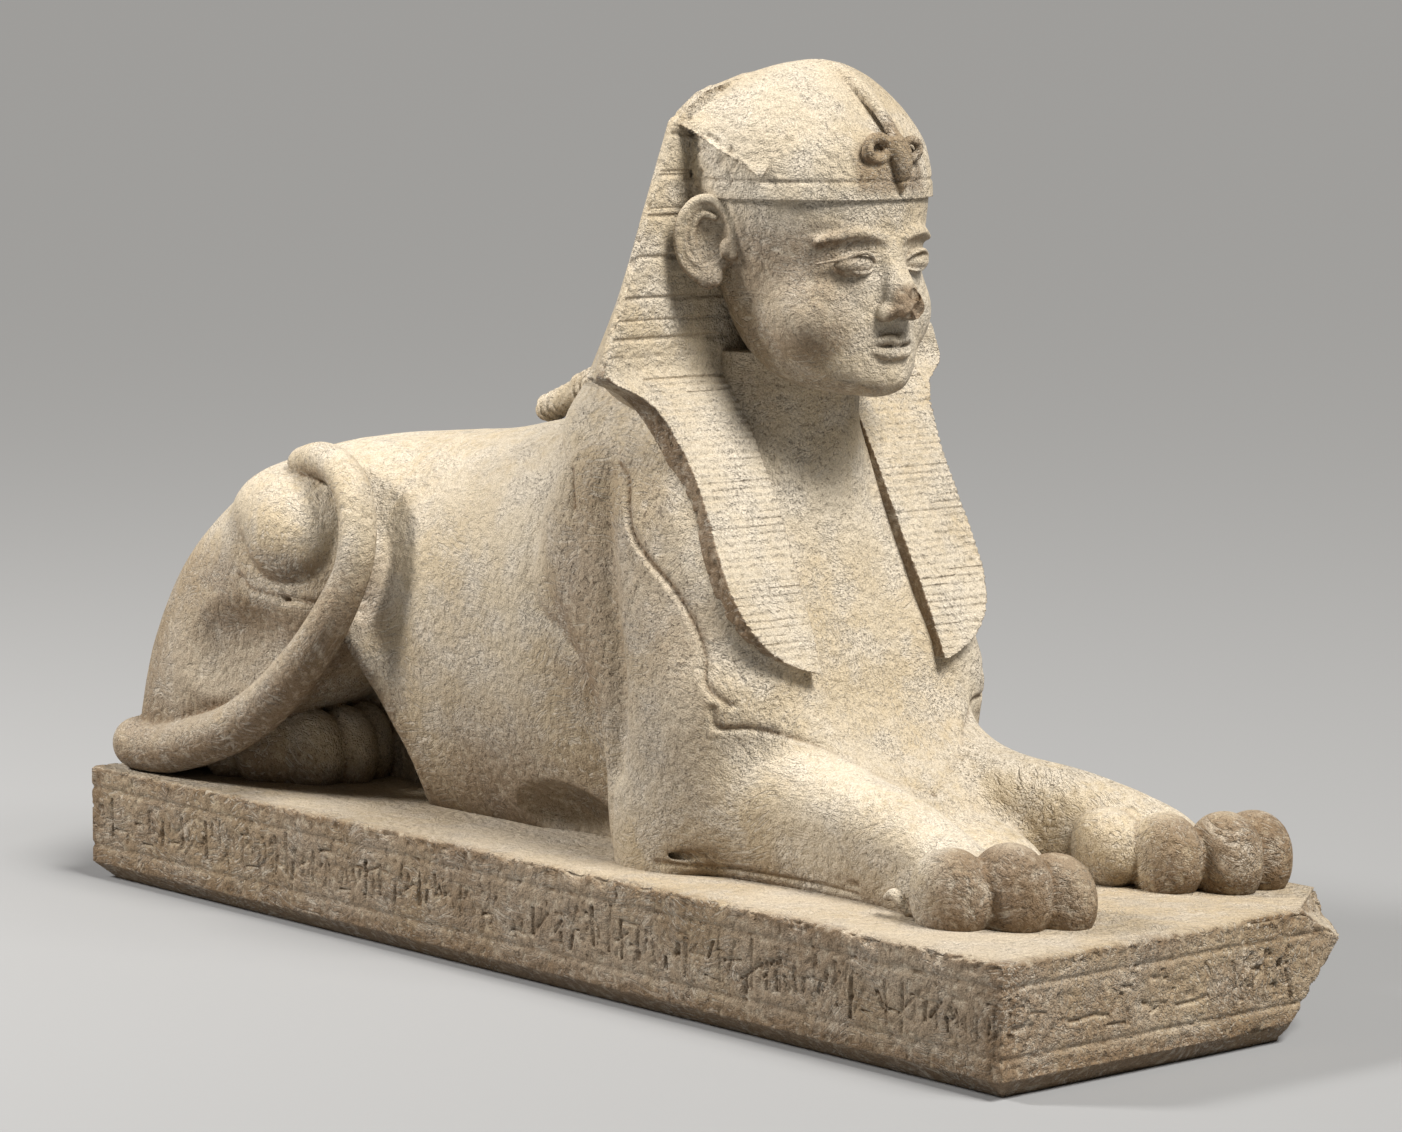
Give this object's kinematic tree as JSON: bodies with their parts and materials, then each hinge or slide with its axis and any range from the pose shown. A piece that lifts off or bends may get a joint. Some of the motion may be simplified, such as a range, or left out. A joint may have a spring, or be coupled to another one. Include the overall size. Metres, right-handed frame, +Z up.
{
  "type": "sphinx statue",
  "caption": "Recumbent human-headed lion of limestone in a striped headcloth, carved in one block with a low inscribed base.",
  "frame": {"origin": "centre of the base's underside, on the floor", "axes": "+Z up, +Y towards the tail, so that the sphinx looks along -Y and its left side is +X"},
  "size_m": [0.407, 1.2, 0.756],
  "materials": {
    "limestone": "chiselled and worn cream limestone, grey-beige dust in the hollows, brown on the toes and the base's lower edge"
  },
  "bodies": {
    "root": {"sphinx": "limestone"}
  },
  "joints": []
}
